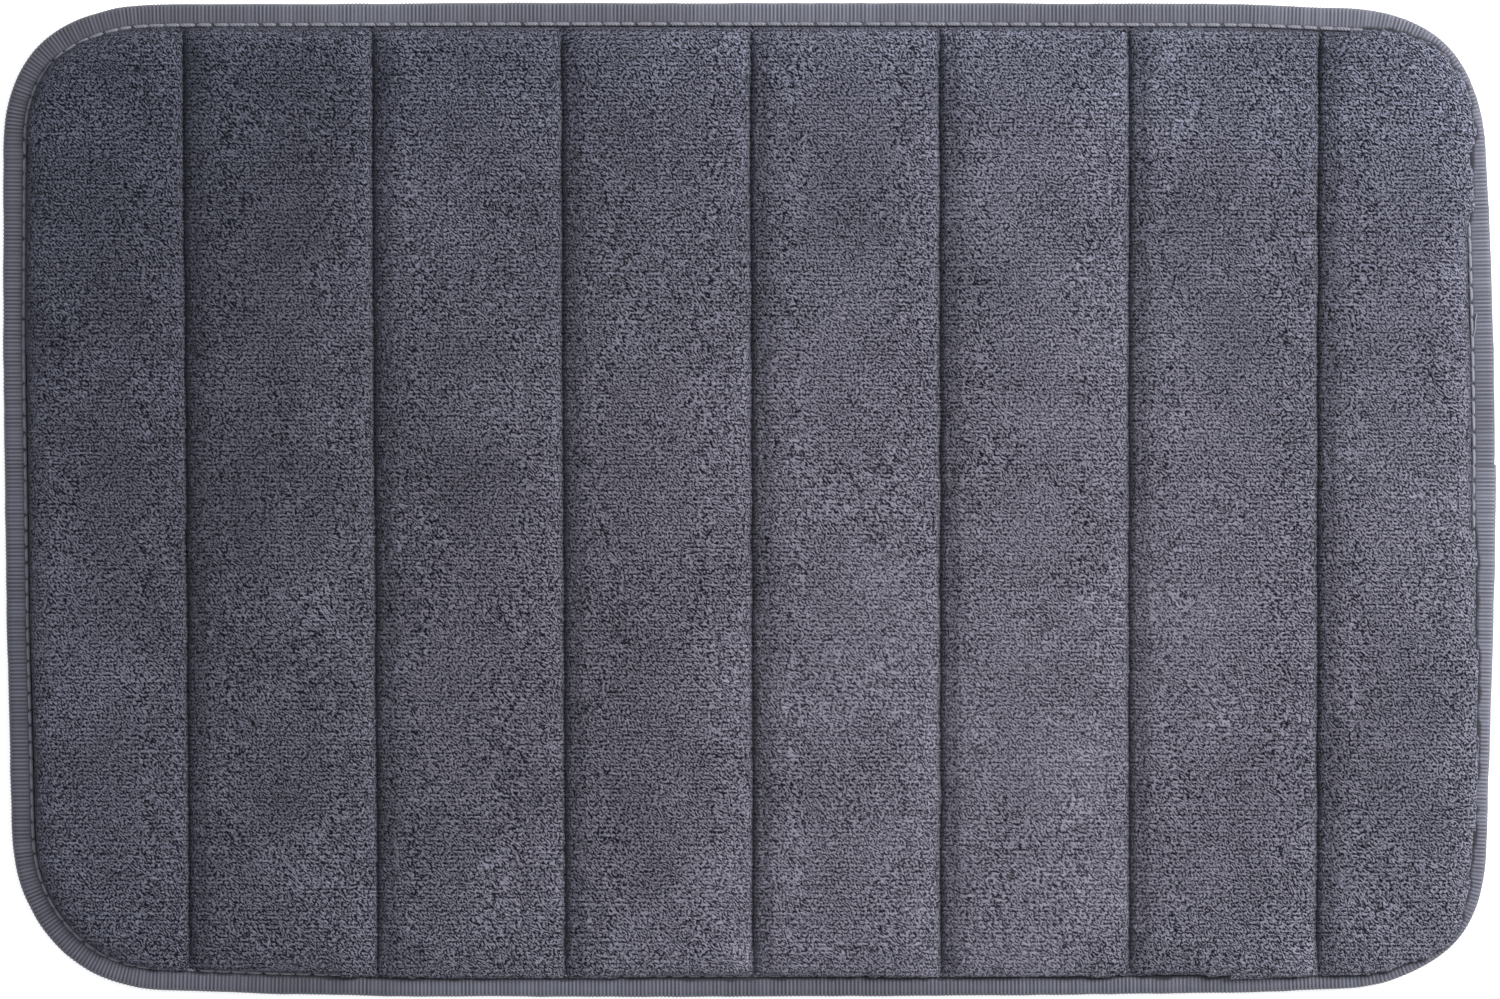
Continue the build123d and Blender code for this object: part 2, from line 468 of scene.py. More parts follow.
def closed_slab(top, bottom):
    """Points and faces of a slab between two grids; the bottom grid may be coarser."""
    share = (top.shape[0] - 1) // (bottom.shape[0] - 1)
    first = top.shape[0] * top.shape[1]
    above = grid_border(*top.shape[:2])
    below = grid_border(*bottom.shape[:2], first)
    wall = [below, np.roll(below, -1)]
    for step in range(share, -1, -1):
        wall.append(np.roll(above, -step)[::share])
    quads = np.concatenate([grid_quads(*top.shape[:2]), grid_quads(*bottom.shape[:2], first)[:, ::-1]])
    points = np.concatenate([top.reshape(-1, 3), bottom.reshape(-1, 3)])
    return points, [quads, np.stack(wall, -1)]


def tubes(centres, radius, sides):
    """Points and faces of a round tube along each line of centres."""
    along = np.gradient(centres, axis=1)
    along /= np.linalg.norm(along, axis=-1, keepdims=True)
    side = np.cross([0, 0, 1.0], along)
    side /= np.maximum(np.linalg.norm(side, axis=-1, keepdims=True), 1e-6)
    up = np.cross(along, side)
    angle = 2 * math.pi * np.arange(sides) / sides
    ring = np.cos(angle)[:, None] * side[:, :, None] + np.sin(angle)[:, None] * up[:, :, None]
    points = centres[:, :, None] + radius * ring
    count, length = centres.shape[:2]
    index = np.arange(count * length * sides).reshape(count, length, sides)
    here = index[:, :-1]
    there = index[:, 1:]
    walls = np.stack([here, np.roll(here, -1, 2), np.roll(there, -1, 2), there], -1).reshape(-1, 4)
    return points.reshape(-1, 3), [walls, index[:, 0, ::-1], index[:, -1]]


# ---- Nodes for materials ----


class Shader:
    """A material's node tree, with short ways to add nodes to it."""

    def __init__(self, name, roughness, sheen=0.0, sheen_roughness=0.5, specular=0.3):
        self.material = bpy.data.materials.new(name)
        self.material.use_nodes = True
        self.tree = self.material.node_tree
        self.surface = self.tree.nodes["Principled BSDF"]
        self.surface.inputs["Roughness"].default_value = roughness
        self.surface.inputs["Sheen Weight"].default_value = sheen
        self.surface.inputs["Sheen Roughness"].default_value = sheen_roughness
        self.surface.inputs["Specular IOR Level"].default_value = specular
        self.place = self.tree.nodes.new("ShaderNodeTexCoord").outputs["Object"]

    def link(self, value, socket):
        """Links an output to a socket, or sets a constant on the socket itself."""
        if isinstance(value, bpy.types.NodeSocket):
            self.tree.links.new(value, socket)
        else:
            socket.default_value = value

    def attribute(self, name):
        node = self.tree.nodes.new("ShaderNodeAttribute")
        node.attribute_name = name
        return node.outputs["Fac"]

    def product(self, first, second):
        """Two values multiplied, kept from 0 to 1."""
        node = self.tree.nodes.new("ShaderNodeMath")
        node.operation = "MULTIPLY"
        node.use_clamp = True
        self.link(first, node.inputs[0])
        self.link(second, node.inputs[1])
        return node.outputs[0]

    def stretched(self, scale, turn=0.0):
        """Object coordinates turned about Z, then scaled by a number for each axis."""
        turned = self.tree.nodes.new("ShaderNodeMapping")
        turned.inputs["Rotation"].default_value = (0, 0, turn)
        self.tree.links.new(self.place, turned.inputs["Vector"])
        node = self.tree.nodes.new("ShaderNodeMapping")
        node.inputs["Scale"].default_value = scale
        self.tree.links.new(turned.outputs["Vector"], node.inputs["Vector"])
        return node.outputs["Vector"]

    def shaken(self, vector, scale, amount):
        """A vector moved about by smooth noise."""
        noise = self.tree.nodes.new("ShaderNodeTexNoise")
        noise.inputs["Scale"].default_value = scale
        noise.inputs["Detail"].default_value = 1.0
        self.tree.links.new(vector, noise.inputs["Vector"])
        centred = self.tree.nodes.new("ShaderNodeVectorMath")
        centred.operation = "MULTIPLY_ADD"
        centred.inputs[1].default_value = (amount, amount, amount)
        self.tree.links.new(noise.outputs["Color"], centred.inputs[0])
        self.tree.links.new(vector, centred.inputs[2])
        return centred.outputs["Vector"]

    def cell_edges(self, vector):
        """The distance to the nearest edge between random cells."""
        node = self.tree.nodes.new("ShaderNodeTexVoronoi")
        node.feature = "DISTANCE_TO_EDGE"
        node.inputs["Scale"].default_value = 1.0
        self.tree.links.new(vector, node.inputs["Vector"])
        return node.outputs["Distance"]

    def noise(self, vector, detail=2.0, roughness=0.5):
        node = self.tree.nodes.new("ShaderNodeTexNoise")
        node.inputs["Scale"].default_value = 1.0
        node.inputs["Detail"].default_value = detail
        node.inputs["Roughness"].default_value = roughness
        self.tree.links.new(vector, node.inputs["Vector"])
        return node.outputs["Fac"]

    def wave(self, direction, pitch, distortion=0.0):
        """Even bands across X or Y, with a pitch in millimetres."""
        node = self.tree.nodes.new("ShaderNodeTexWave")
        node.bands_direction = direction
        node.inputs["Scale"].default_value = math.pi / (10 * pitch * mm)
        node.inputs["Distortion"].default_value = distortion
        self.tree.links.new(self.place, node.inputs["Vector"])
        return node.outputs["Fac"]

    def weighted(self, *terms, start=0.0):
        """A sum of values, each times its weight, kept from 0 to 1."""
        total = start
        for value, weight in terms:
            node = self.tree.nodes.new("ShaderNodeMath")
            node.operation = "MULTIPLY_ADD"
            self.link(value, node.inputs[0])
            node.inputs[1].default_value = weight
            self.link(total, node.inputs[2])
            total = node.outputs[0]
        total.node.use_clamp = True
        return total

    def blend(self, share, first, second):
        """A colour between two, by a share from 0 to 1."""
        node = self.tree.nodes.new("ShaderNodeMix")
        node.data_type = "RGBA"
        self.link(share, node.inputs["Factor"])
        self.link(first, node.inputs["A"])
        self.link(second, node.inputs["B"])
        return node.outputs["Result"]

    def colour(self, value):
        self.link(value, self.surface.inputs["Base Color"])

    def bump(self, height, distance):
        node = self.tree.nodes.new("ShaderNodeBump")
        node.inputs["Strength"].default_value = 1.0
        node.inputs["Distance"].default_value = distance
        self.tree.links.new(height, node.inputs["Height"])
        self.tree.links.new(node.outputs["Normal"], self.surface.inputs["Normal"])


def grey(level, green=0.965, blue=1.23):
    """A grey with a slight hue, from its red level and how green and blue compare with it."""
    return (level, level * green, level * blue, 1)


def pile_material():
    """Knitted fleece: painted shade between the tufts, lighter tips, with lying nap and fine fibres.

    The mesh gives how far up a tuft each point is, how the nap lies with the painted light across the
    mat, how bluish the light is there, and how open the place is, as painted shade: 0 deep in a crease,
    1 out on a panel.
    """
    shader = Shader("pile_fleece", roughness=0.92, sheen=0.22, sheen_roughness=0.45, specular=0.1)
    shader.surface.inputs["Sheen Tint"].default_value = (0.75, 0.8, 1, 1)
    tuft = shader.attribute("tuft")
    nap_and_painted_light = shader.attribute("nap_and_painted_light")
    curls = shader.shaken(shader.stretched((560, 900, 600), turn=0.75), 0.6, 1.4)
    gap = shader.product(shader.cell_edges(curls), 3.0)
    fibres = shader.noise(shader.stretched((950, 2000, 1500), turn=0.75), detail=0.0)
    specks = shader.noise(shader.stretched((1700, 2900, 2200), turn=0.75), detail=0.0)
    rows = shader.wave("Y", row_pitch, distortion=1.6)
    curl = shader.weighted((gap, 0.12), (fibres, 3.9), (specks, 2.0), (rows, 0.38), start=-2.76)
    light = shader.weighted((curl, 0.9), (tuft, 0.18), (nap_and_painted_light, 0.5), start=-0.35)

    # Painted shade: the valleys between the tufts and rows are nearly black and the tips light; the nap's
    # tone carries painted light, darker to the left.
    def pile_colour(green, blue):
        valley = shader.blend(nap_and_painted_light, grey(0.003, green, 1.5 * blue), grey(0.006, green, 1.5 * blue))
        tip = shader.blend(nap_and_painted_light, grey(0.15, green, blue), grey(0.305, green, blue))
        return shader.blend(light, valley, tip)

    pile = shader.blend(shader.attribute("cool"), pile_colour(0.95, 1.19), pile_colour(1.09, 1.5))
    # Painted shade: the pile turns nearly black where less light reaches, in the edge's crease and beside
    # the seams.
    shader.colour(shader.blend(shader.attribute("open"), grey(0.003, blue=2.0), pile))
    shader.bump(curl, 0.9 * mm)
    return shader.material


def tape_material():
    """Ribbed woven tape: light cords with painted shade between them, and a fine weave."""
    shader = Shader("ribbed_tape", roughness=0.78, sheen=0.15, specular=0.2)
    weave = shader.noise(shader.stretched((2200, 2200, 2200)), detail=2.0, roughness=0.6)
    light = shader.weighted((weave, 0.7), (shader.attribute("rib_and_shade"), 1.0), start=-0.35)
    # Painted light and shade: the mesh's shade value makes the tape darker in its furrow and under the
    # pile, and lighter to the right.
    shade = shader.attribute("shade")
    low = shader.blend(shade, grey(0.020, 1.03, 1.35), grey(0.062, 1.03, 1.35))
    high = shader.blend(shade, grey(0.065, 1.03, 1.3), grey(0.18, 1.03, 1.3))
    shader.colour(shader.blend(light, low, high))
    shader.bump(weave, 0.15 * mm)
    return shader.material


def thread_material(name, level):
    """Spun sewing thread: fine fibres over a plain grey."""
    shader = Shader(name, roughness=0.6, sheen=0.2, specular=0.3)
    fibres = shader.noise(shader.stretched((5000, 5000, 5000)), detail=2.0)
    shader.colour(shader.blend(fibres, grey(0.55 * level, 1.0, 1.22), grey(1.25 * level, 1.0, 1.22)))
    shader.bump(fibres, 0.06 * mm)
    return shader.material


def woven_material(name, dark, light, pitch):
    """Plain woven cloth: yarns over and under each other both ways."""
    shader = Shader(name, roughness=0.85, sheen=0.1, specular=0.2)
    weave = shader.product(shader.wave("X", pitch), shader.wave("Y", pitch))
    wear = shader.noise(shader.stretched((60, 60, 60)), detail=4.0)
    shader.colour(shader.blend(shader.product(weave, wear), grey(dark), grey(light)))
    shader.bump(weave, 0.15 * mm)
    return shader.material


def foam_material():
    """Cut polyurethane foam: fine open cells."""
    shader = Shader("cut_foam", roughness=0.95, specular=0.1)
    cells = shader.noise(shader.stretched((1500, 1500, 1500)), detail=4.0, roughness=0.7)
    shader.colour(shader.blend(cells, (0.42, 0.40, 0.34, 1), (0.78, 0.76, 0.68, 1)))
    shader.bump(cells, 0.3 * mm)
    return shader.material


def scrim_material():
    """Bonded non-woven lining: pressed white fibres."""
    shader = Shader("bonded_lining", roughness=0.9, specular=0.15)
    fibres = shader.noise(shader.stretched((400, 1800, 900)), detail=5.0, roughness=0.7)
    shader.colour(shader.blend(fibres, (0.45, 0.45, 0.46, 1), (0.82, 0.82, 0.84, 1)))
    shader.bump(fibres, 0.1 * mm)
    return shader.material


def dot_material():
    """Soft printed plastic: nearly smooth, with a light skin texture."""
    shader = Shader("printed_dots", roughness=0.5, specular=0.45)
    skin = shader.noise(shader.stretched((900, 900, 900)), detail=3.0)
    shader.colour(shader.blend(skin, (0.05, 0.05, 0.055, 1), (0.085, 0.085, 0.09, 1)))
    shader.bump(skin, 0.05 * mm)
    return shader.material


def floor_material():
    """A plain pale floor, lit a little from below like a light table."""
    shader = Shader("pale_floor", roughness=0.9, specular=0.1)
    tone = shader.noise(shader.stretched((3, 3, 3)), detail=2.0)
    shader.colour(shader.blend(tone, (0.86, 0.86, 0.865, 1), (0.9, 0.9, 0.905, 1)))
    shader.surface.inputs["Emission Color"].default_value = (1, 1, 1, 1)
    shader.surface.inputs["Emission Strength"].default_value = 0.55
    return shader.material


# ---- The padded cover, and what lies under it ----


def plan_grid(per_panel, row_step, inset, margin=4.0, row_margin=0.2):
    """A grid of plan points whose columns follow the quilting seams, with rows at even y.

    The rows end a row_margin short of where the outline passes the outer seams, by a margin, so
    that each row has a left and a right border outside them. Columns are closer near the seams.
    """
    edge, _ = on_outline(outline_share, np.full(len(outline), float(inset)))
    top = edge[:, 1].argmax()
    right_side = np.roll(edge, -top, axis=0)
    bottom = right_side[:, 1].argmin()
    left_side = np.vstack([right_side[bottom:], right_side[:1]])
    right_side = right_side[: bottom + 1][::-1]
    near_first_seam = np.abs(edge[:, 0] - (seam_lines[0][0] - margin)) < margin / 2
    near_last_seam = np.abs(edge[:, 0] - (seam_lines[-1][0] + margin)) < margin / 2
    outer = edge[near_first_seam | near_last_seam, 1]
    y_low = outer[outer < 0].max() + row_margin
    y_high = outer[outer > 0].min() - row_margin
    steps = coarse_share * int((y_high - y_low) / row_step / coarse_share + 0.5)
    y = np.linspace(y_low, y_high, steps + 1)
    borders = [np.interp(y, left_side[:, 1], left_side[:, 0])]
    borders += [seam_x(number, y) for number in range(1, seam_count + 1)]
    borders += [np.interp(y, right_side[:, 1], right_side[:, 0])]
    share = np.arange(per_panel) / per_panel
    share = share - column_bunching * np.sin(2 * math.pi * share) / (2 * math.pi)
    panels = zip(borders, borders[1:])
    columns = [left[:, None] + (right - left)[:, None] * share for left, right in panels]
    x = np.hstack(columns + [borders[-1][:, None]])
    return x, np.broadcast_to(y[:, None], x.shape)


def seam_offset(x, y):
    """How far each point of a plan grid is to the right of its nearest quilting seam."""
    seams = np.stack([seam_x(number, y[:, 0]) for number in range(1, seam_count + 1)])
    offsets = x[None] - seams[:, :, None]
    return np.take_along_axis(offsets, np.abs(offsets).argmin(0)[None], 0)[0]


def bezier(t, a, b, c, d):
    """A cubic curve's value at t."""
    return (1 - t) ** 3 * a + 3 * (1 - t) ** 2 * t * b + 3 * (1 - t) * t**2 * c + t**3 * d


def pile_bulge(share):
    """How far the pile hangs over the tape, all round, with small waves from the stitches."""
    bulge = values_round(outline, pile_bulges, share)
    waves = line_noise(share * outline_length, bulge_waves)
    return np.maximum(bulge * (1 + 0.16 * waves) + 0.12 * waves, 0)


def pad_level(x, y, gap):
    """The padding's level away from the mat's edge, at a gap from the nearest seam."""
    swell = layered_noise(x, y, pad_swell)
    dome = panel_dome * (1 - np.exp(-gap / dome_reach))
    pucker = np.exp(-gap / pucker_reach) * layered_noise(x, y, pad_pucker)
    shoulder = shoulder_depth * np.exp(-gap / shoulder_reach)
    crease = crease_depth * np.exp(-gap / crease_reach)
    return crown_level + panel_height + swell + dome + pucker - shoulder - crease


def pad_surface(x, y, bulging):
    """The padding's smooth top as a grid of points, with more about each of them.

    Also its inset in the flat plan, how far it is to the right of its nearest seam, how far the
    pile hangs over the tape nearby, and its place in the knit, as if the edge were rolled out flat.
    """
    inset, share = edge_lookup(x, y)
    _, outward = on_outline(share, 0 * share)
    aside = seam_offset(x, y)
    level = pad_level(x, y, np.abs(aside))
    bulge = pile_bulge(share)
    overhang = bulge if bulging else 0 * share
    t = np.clip((inset - pad_start) / pad_round, 0, 1)
    place = bezier(
        t,
        pad_start,
        pad_start - 2.2 * overhang,
        pad_start + 1.5 - 1.2 * overhang,
        pad_start + pad_round,
    )
    height = bezier(t, tape_level + pad_lift, tape_level + 2.2 * pad_lift, level, level)
    under = inset < pad_start
    place = np.where(under | (t >= 1), inset, place)
    height = np.where(under, hidden_level, height)
    shift = (inset - place)[..., None] * outward
    points = np.dstack([x + shift[..., 0], y + shift[..., 1], height])
    unrolled = points[..., :2] + np.maximum(level - height, 0)[..., None] * outward
    return points, inset, aside, bulge, unrolled


def below_pad(top, inset, clearance):
    """A pad surface lowered by the cover's thickness, which is less at the rim, and a clearance."""
    thickness = np.interp(inset, [pad_start, pad_start + 2], [rim_thickness, cover_thickness])
    return top - np.dstack([0 * inset, 0 * inset, thickness + clearance])


def grid_normals(points):
    """The directions that a grid surface faces."""
    normals = np.cross(np.gradient(points, axis=1), np.gradient(points, axis=0))
    return normals / np.maximum(np.linalg.norm(normals, axis=-1, keepdims=True), 1e-9)


def pile_relief(x, y):
    """The knitted pile's relief, 0 between the tufts to 1 on their tips, and a tone for each tuft."""
    x = x + layered_noise(x, y, knit_drift_across)
    y = y + layered_noise(x, y, knit_drift_upward)
    across = x / tuft_pitch + cells_before
    up = y / row_pitch + cells_before
    column = np.floor(across).astype(int)
    row = np.floor(up).astype(int)
    size = 512
    aside, above, stand, tone = np.random.default_rng(15).uniform(-1, 1, (4, size, size))
    closest = np.full(x.shape, np.inf)
    relief = np.zeros(x.shape)
    shown_tone = np.zeros(x.shape)
    for row_step in (-1, 0, 1):
        for column_step in (-1, 0, 1):
            tuft = (row + row_step) % size, (column + column_step) % size
            shift = 0.5 + tuft_scatter * aside[tuft] + row_shift * ((row + row_step) % 2)
            right = across - column - column_step - shift
            rise = up - row - row_step - 0.5 - row_scatter * above[tuft]
            distance = np.hypot(right + tuft_lean * rise, rise)
            nearer = distance < closest
            closest = np.where(nearer, distance, closest)
            height = (0.72 + 0.28 * stand[tuft]) * (1 - np.clip(distance / tuft_reach, 0, 1) ** 2)
            relief = np.where(nearer, height, relief)
            shown_tone = np.where(nearer, tone[tuft], shown_tone)
    lines = 0.5 + 0.5 * value_noise(x, y, 55, 30, 17)
    between = np.abs(np.cos(math.pi * (up - row))) ** 5
    course = 1 - lines * between * np.where((row + (up - row > 0.5)) % 2 == 0, 0.75, 0.3)
    strands = value_noise(x + 0.4 * y, y, 0.95, 0.8, 16)
    return np.clip(relief * course + 0.14 * strands, 0, 1.1), shown_tone


def painted_light_and_nap(x, y):
    """The pile's tone, 0 to 1: darker to the left as painted light, darker at the top and in nap patches.
    """
    # Painted light: darker to the left, away from the light; also darker towards the top.
    nap_and_painted_light = np.interp(x, *zip(*painted_light_across)) - np.interp(y, *zip(*darker_upward))
    nap_and_painted_light += layered_noise(x, y, nap_patches)
    for (px, py), size, strength in dark_patches:
        nap_and_painted_light -= strength * np.exp(-2 * ((x - px) ** 2 + (y - py) ** 2) / size**2)
    return np.clip(nap_and_painted_light, 0, 1)


def openness(inset, aside, bulge):
    """How much of the light reaches the pile: less in the edge's crease and beside each seam."""
    crease = np.clip(1.15 - ((inset - pad_start) / edge_shade_reach) ** 2, 0, 1)
    bare = np.clip(1.5 - 0.5 * bulge, 0, 1)
    lip = lip_shade * np.exp(-((aside / lip_shade_reach) ** 2)) * (aside < 0)
    slope = slope_shade * np.exp(-(((aside - slope_shade_place) / slope_shade_reach) ** 2))
    return (1 - edge_shade * crease * bare) * (1 - lip - slope)


def coolness(x, y):
    """How bluish the pile looks: most at the top left, least in the middle."""
    right = x / 300
    up = y / 200
    return 0.4 * right**2 + 0.4 * up**2 + 0.25 * up - 0.15 * right


def make_cover(material):
    """The knitted pile cover: quilted panels with every tuft, closed below by the cloth's back."""
    x, y = plan_grid(columns_per_panel, row_pitch / rows_per_pitch, hidden_inset)
    smooth, inset, aside, bulge, knit = pad_surface(x, y, bulging=True)
    relief, tone = pile_relief(knit[..., 0], knit[..., 1])
    shown = np.clip(inset - pad_start, 0, 1)
    ragged = shown * (1 + 1.5 * np.exp(-np.abs(aside) / 2))
    top = smooth + (tuft_height * (relief - 0.45) * ragged)[..., None] * grid_normals(smooth)
    coarse = slice(None, None, coarse_share)
    below, below_inset, *_ = pad_surface(x[coarse, coarse], y[coarse, coarse], bulging=False)
    points, faces = closed_slab(top, below_pad(below, below_inset, 0))
    # The tuft value paints shade between the tufts into the pile's colour.
    tuft = np.clip(0.1 + 0.85 * relief + 0.1 * tone, 0, 1)
    shown_values = {
        "tuft": (tuft, 0.3),
        "open": (openness(inset, aside, bulge), 1),
        "cool": (coolness(x, y), 0),
        "nap_and_painted_light": (painted_light_and_nap(x, y), 0.5),
    }
    attributes = {}
    for key, (front, back) in shown_values.items():
        attributes[key] = np.concatenate([front.ravel(), np.full(below_inset.size, back)])
    name = "pile_cover_cloth"
    cover = new_piece(name, points, faces, material, ["pile_cover"], attributes)
    return cover


def make_foam(material):
    """The foam core: quilted on top like the cover, flat below."""
    x, y = plan_grid(columns_per_panel // coarse_share, foam_row_step, foam_inset)
    top, inset, *_ = pad_surface(x, y, bulging=False)
    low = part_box("foam_core")[0].z / mm + foam_gap_below
    bottom = np.dstack([x, y, np.full(x.shape, low)])
    points, faces = closed_slab(below_pad(top, inset, foam_gap_above), bottom)
    foam = new_piece("foam_padding", points, faces, material, ["foam_core"])
    return foam


def make_flat_cloth(name, node, material):
    """A flat cloth layer with the mat's plan, in the place of its CAD node."""
    low, high = (corner.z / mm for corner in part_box(node))
    x, y = plan_grid(flat_columns, flat_row_step, flat_inset)
    swell = layered_noise(x, y, cloth_swell)
    top = np.dstack([x, y, high - 0.04 + swell])
    bottom = np.dstack([x, y, np.full(x.shape, low)])
    points, faces = closed_slab(top, bottom)
    cloth = new_piece(name, points, faces, material, [node])
    return cloth


# ---- Tape ----


def tape_profile():
    """The tape's section, once round: over the top, round the edge, below, and back inside the fold.

    Each row has its inset and level, the directions out and up that its ribs stand in, how much of
    the ribs shows, and whether it is on the outside, where the lap lifts it.
    """
    radius = tape_level / 2
    inner = radius - tape_thickness
    rows = []
    for inset in tape_rows:
        dip = -stitch_dip * math.exp(-(((inset - seam_inset) / 0.55) ** 2))
        puff = tape_puff * math.sin(math.pi * min(max((inset - radius) / (seam_inset - radius), 0), 1))
        ribs = 0.25 + 0.75 * min(max((7.9 - inset) / 2.0, 0), 1)
        rows.append((inset, tape_level + dip + puff, 0, 1, ribs, 1))
    for angle in np.linspace(math.pi / 2, -math.pi / 2, 11):
        out = math.cos(angle)
        up = math.sin(angle)
        rows.append((radius - radius * out, radius + radius * up, out, up, 1, 1))
    for inset in (5.5, 8.0, tape_leg):
        rows.append((inset, 0, 0, -1, 0, 1))
    for inset in (tape_leg, 6.0):
        rows.append((inset, tape_thickness, 0, 1, 0, 0))
    for angle in np.linspace(-math.pi / 2, math.pi / 2, 7):
        rows.append((radius - inner * math.cos(angle), radius + inner * math.sin(angle), 0, 0, 0, 0))
    for inset in (6.0, tape_leg):
        rows.append((inset, tape_level - tape_thickness, 0, -1, 0, 0))
    return np.array(rows, float).T


def tape_tones(profile, share, wave):
    """The tape's values for its material: how light each rib is, and how much light it gets.

    Painted light makes it lighter towards the right, where the light falls. Painted shade darkens it in
    the stitches' furrow and at its inner edge, and a painted shadow where the pile hangs over it. It's
    also darker at the end's edge.
    """
    depth, _, _, up, rib_share, _ = profile
    travel = share * outline_length
    place, _ = on_outline(share, 0 * share)
    on_top = up > 0.5
    bulge = pile_bulge(share)[:, None]
    # Painted shadow where the pile hangs over the tape.
    overhang_shadow = np.clip((depth - 8.8 + 1.1 * bulge) / 0.9, 0, 1) * np.clip(bulge - 0.9, 0, 1) * on_top
    # Painted shade between the ribs' cords, over the ribs' own relief.
    rib_and_shade = 0.5 + 0.5 * wave * (0.3 + 0.7 * rib_share)
    # Painted shade at the tape's inner edge, next to the pile.
    rib_and_shade = rib_and_shade * (1 - 0.6 * np.exp(-(((depth - 9.4) / 0.5) ** 2)))
    rib_and_shade = rib_and_shade + line_noise(travel, rib_specks)[:, None]
    # Painted light: lighter towards the right, where the light falls; the patches are the tape's own
    # uneven tone.
    shade = 0.55 + line_noise(travel, tape_patches) + 0.13 * place[:, 0] / 300
    # Painted shade in the stitches' furrow.
    shade = shade[:, None] - 0.45 * np.exp(-(((depth - seam_inset) / 0.7) ** 2)) * on_top
    from_end = np.minimum(travel, outline_length - travel)[:, None]
    end_line = np.exp(-((from_end / 0.5) ** 2))
    return {
        "rib_and_shade": rib_and_shade * (1 - 0.9 * overhang_shadow) * (1 - 0.8 * end_line),
        "shade": np.clip(shade * (1 - 0.9 * overhang_shadow), 0, 1),
    }


def make_tape(material):
    """The ribbed tape folded round the edge, its end lapped over its beginning."""
    profile = tape_profile()
    depth, height, out, up, rib_share, outside = profile
    ribs = round(outline_length / rib_pitch)
    share = np.arange(ribs * sections_per_rib) / (ribs * sections_per_rib)
    travel = share * outline_length
    phase = 2 * math.pi * ribs * share + line_noise(travel, rib_drift)
    wave = (np.cos(phase) * (1 + line_noise(travel, rib_strength)))[:, None]
    wander = line_noise(travel, tape_wander)[:, None]
    lap = lap_thickness * np.clip(1 - travel / lap_fade, 0, 1) ** 0.7
    proud = rib_height * rib_share * wave + outside * (up > -0.2) * lap[:, None]
    inset = depth - proud * out - wander * np.clip(1 - depth / 8, 0, 1)
    level = height + proud * up
    level = np.where(outside > 0, np.maximum(level, 0), level)
    place, outward = on_outline(share, 0 * share)
    points = np.dstack([place[:, None] - inset[..., None] * outward[:, None], level])
    index = np.arange(level.size).reshape(level.shape)
    after = np.roll(index, -1, axis=0)
    faces = np.stack([index, np.roll(index, -1, 1), np.roll(after, -1, 1), after], -1).reshape(-1, 4)
    attributes = tape_tones(profile, share, wave)
    tape = new_piece("edge_tape", points, [faces], material, ["binding_tape"], attributes)
    return tape


# ---- Threads ----


def stitch_arcs(starts, ends, level, sink, steps, power=6):
    """Centre lines of stitches that lie at level and dive into the cloth by sink at both ends."""
    t = np.linspace(0, 1, steps)
    flat = starts[:, None] * (1 - t)[None, :, None] + ends[:, None] * t[None, :, None]
    dive = sink * np.abs(2 * t - 1) ** power
    return np.concatenate([flat, (level[:, None] - dive)[..., None]], -1)


def twisted(centres, length, ply, sides, seed):
    """Points and faces of two-ply threads along lines of centres; ply is its offset, radius, turn."""
    offset, radius, turn_length = ply
    along = np.gradient(centres, axis=1)
    along /= np.linalg.norm(along, axis=-1, keepdims=True)
    side = np.cross([0, 0, 1.0], along)
    up = np.cross(along, side)
    t = np.linspace(0, 1, centres.shape[1])
    starts = np.random.default_rng(seed).uniform(0, 2 * math.pi, len(centres))
    plies = []
    for turned in (0, 0.5):
        angle = 2 * math.pi * (t * length / turn_length + turned) + starts[:, None]
        plies.append(centres + offset * (np.cos(angle)[..., None] * side + np.sin(angle)[..., None] * up))
    return tubes(np.concatenate(plies), radius, sides)


def joined(parts):
    """Several sets of points and faces as one."""
    points = []
    groups = []
    first = 0
    for part_points, part_faces in parts:
        points.append(part_points)
        groups += [faces + first for faces in part_faces]
        first += len(part_points)
    return np.concatenate(points), groups


def binding_stitch_ends():
    """Where each binding stitch starts and ends in plan."""
    count = round((outline_length - 2 * math.pi * seam_inset) / binding_stitch)
    scatter = np.random.default_rng(71).uniform(-stitch_scatter, stitch_scatter, (2, count))
    start = np.arange(count) / count + scatter[0]
    end = (np.arange(count) + binding_stitch_shown / binding_stitch) / count + scatter[1]
    starts, _ = on_outline(start % 1, np.full(count, seam_inset))
    ends, _ = on_outline(end % 1, np.full(count, seam_inset))
    return starts, ends


def loose_tail():
    """The centre line of the thread's loose tail, smoothed between its few points."""
    corners = np.array(tail_points)
    t = np.linspace(0, 1, 21)
    marks = np.linspace(0, 1, len(corners))
    line = np.stack([np.interp(t, marks, corners[:, axis]) for axis in range(3)], -1)[None]
    for _ in range(4):
        line[:, 1:-1] = (line[:, :-2] + 2 * line[:, 1:-1] + line[:, 2:]) / 4
    return line


def make_binding_thread(material):
    """The light twisted thread along the tape's inner edge, with one loose tail on the right."""
    starts, ends = binding_stitch_ends()
    level = tape_level + 0.08 + np.random.default_rng(72).uniform(-0.06, 0.06, len(starts))
    centres = stitch_arcs(starts, ends, level, 1.1, 19, power=4)
    stitches = twisted(centres, binding_stitch_shown, binding_ply, 7, 73)
    tail = twisted(loose_tail(), tail_length, tail_ply, 7, 74)
    points, faces = joined([stitches, tail])
    name = "binding_top_stitches"
    return new_piece(name, points, faces, material, ["binding_needle_thread"])


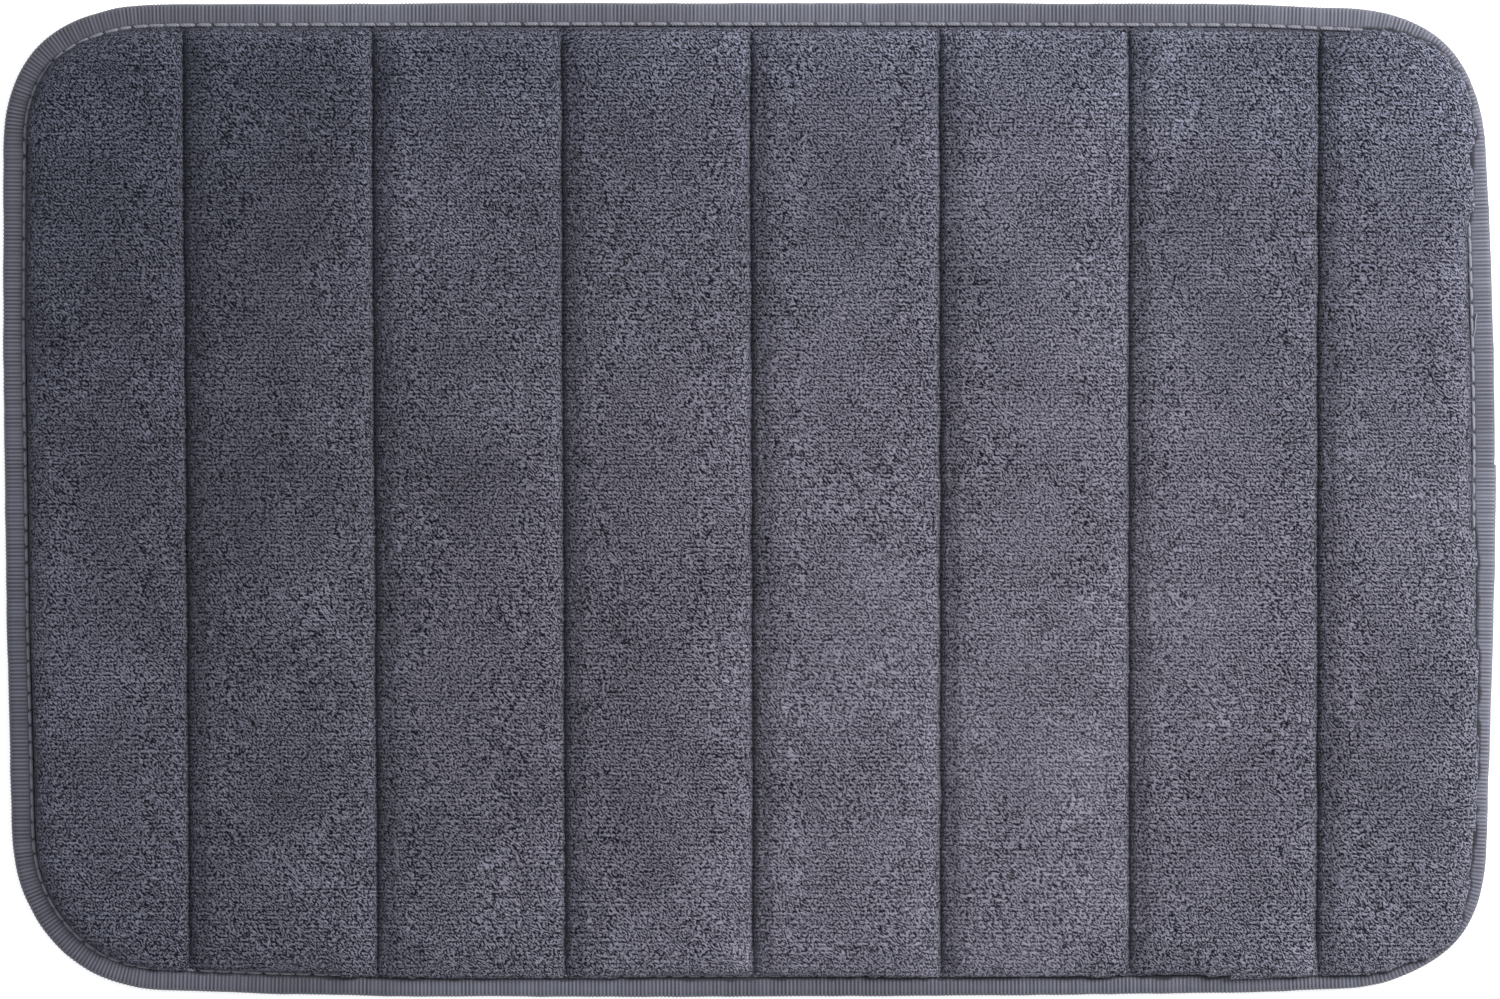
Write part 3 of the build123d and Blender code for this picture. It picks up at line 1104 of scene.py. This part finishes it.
def make_binding_bobbin(material):
    """The under thread of the binding seam: stitches pressed into the tape's lower leg."""
    starts, ends = binding_stitch_ends()
    centres = stitch_arcs(starts, ends, np.full(len(starts), 0.02), -0.7, 11)
    centres[..., 2] = np.maximum(centres[..., 2], under_thread_radius + 0.01)
    points, faces = tubes(centres, under_thread_radius, 6)
    name = "binding_under_stitches"
    return new_piece(name, points, faces, material, ["binding_bobbin_thread"])


def make_quilt_thread(number, material):
    """The needle thread in one groove: a stitch, then a dive through the padding, again and again."""
    node = f"quilt_needle_thread_{number}"
    reach = node_points(node)[:, 1].max() - 0.3
    count = int(2 * reach / quilt_stitch)
    starts = (np.arange(count) - count / 2) * quilt_stitch
    ends = starts + quilt_stitch_shown
    start = np.stack([seam_x(number, starts), starts], -1)
    end = np.stack([seam_x(number, ends), ends], -1)
    centres = stitch_arcs(start, end, np.full(count, groove_level + 0.15), 1.2, 13)
    points, faces = twisted(centres, quilt_stitch_shown, quilt_ply, 6, 80 + number)
    return new_piece(f"quilt_stitches_{number}", points, faces, material, [node])


# ---- Light, floor and camera ----


def make_stage(material):
    """A pale floor, one soft light from the upper right and an even surrounding light."""
    half = 4.0
    mesh = bpy.data.meshes.new("studio_floor")
    corners = [(-half, -half, 0), (half, -half, 0), (half, half, 0), (-half, half, 0)]
    mesh.from_pydata(corners, [], [(0, 1, 2, 3)])
    mesh.materials.append(material)
    floor = bpy.data.objects.new("studio_floor", mesh)
    bpy.context.scene.collection.objects.link(floor)

    lamp = bpy.data.lights.new("key_light", "AREA")
    lamp.shape = "DISK"
    lamp.size = 1.0
    lamp.energy = 66
    lamp.color = (1.0, 0.99, 0.98)
    key = bpy.data.objects.new("key_light", lamp)
    key.location = (1.4, 0.7, 1.3)
    key.rotation_euler = (-Vector(key.location)).to_track_quat("-Z", "Y").to_euler()
    bpy.context.scene.collection.objects.link(key)

    world = bpy.data.worlds.new("studio")
    world.use_nodes = True
    world.node_tree.nodes["Background"].inputs["Color"].default_value = (0.97, 0.98, 1.0, 1)
    world.node_tree.nodes["Background"].inputs["Strength"].default_value = 0.7
    bpy.context.scene.world = world
    bpy.context.scene.view_settings.view_transform = "Standard"


def make_camera():
    """A long lens straight above the mat."""
    distance = 4.0
    aside = 0.0004
    view_width = 0.6024
    lens = bpy.data.cameras.new("overhead")
    lens.sensor_width = 36
    lens.lens = lens.sensor_width * distance / view_width
    camera = bpy.data.objects.new("overhead", lens)
    camera.location = (aside, 0, distance + tape_level * mm / 2)
    bpy.context.scene.collection.objects.link(camera)
    bpy.context.scene.camera = camera


# ---- Putting it together ----

make_camera()
make_stage(floor_material())
quilt_thread = thread_material("quilting_thread", 0.06)
edge_thread = thread_material("binding_thread", 0.20)

make_foam(foam_material())
make_cover(pile_material())
lining = scrim_material()
make_flat_cloth("lining_scrim", "quilting_scrim", lining)
backing = woven_material("woven_base", 0.03, 0.09, 0.9)
make_flat_cloth("base_cloth", "anti_slip_base", backing)
make_tape(tape_material())
make_binding_thread(edge_thread)
make_binding_bobbin(edge_thread)
for seam in range(1, seam_count + 1):
    make_quilt_thread(seam, quilt_thread)
    nodes[f"quilt_bobbin_thread_{seam}"].data.materials.clear()
    nodes[f"quilt_bobbin_thread_{seam}"].data.materials.append(quilt_thread)
nodes["anti_slip_dots"].data.materials.clear()
nodes["anti_slip_dots"].data.materials.append(dot_material())
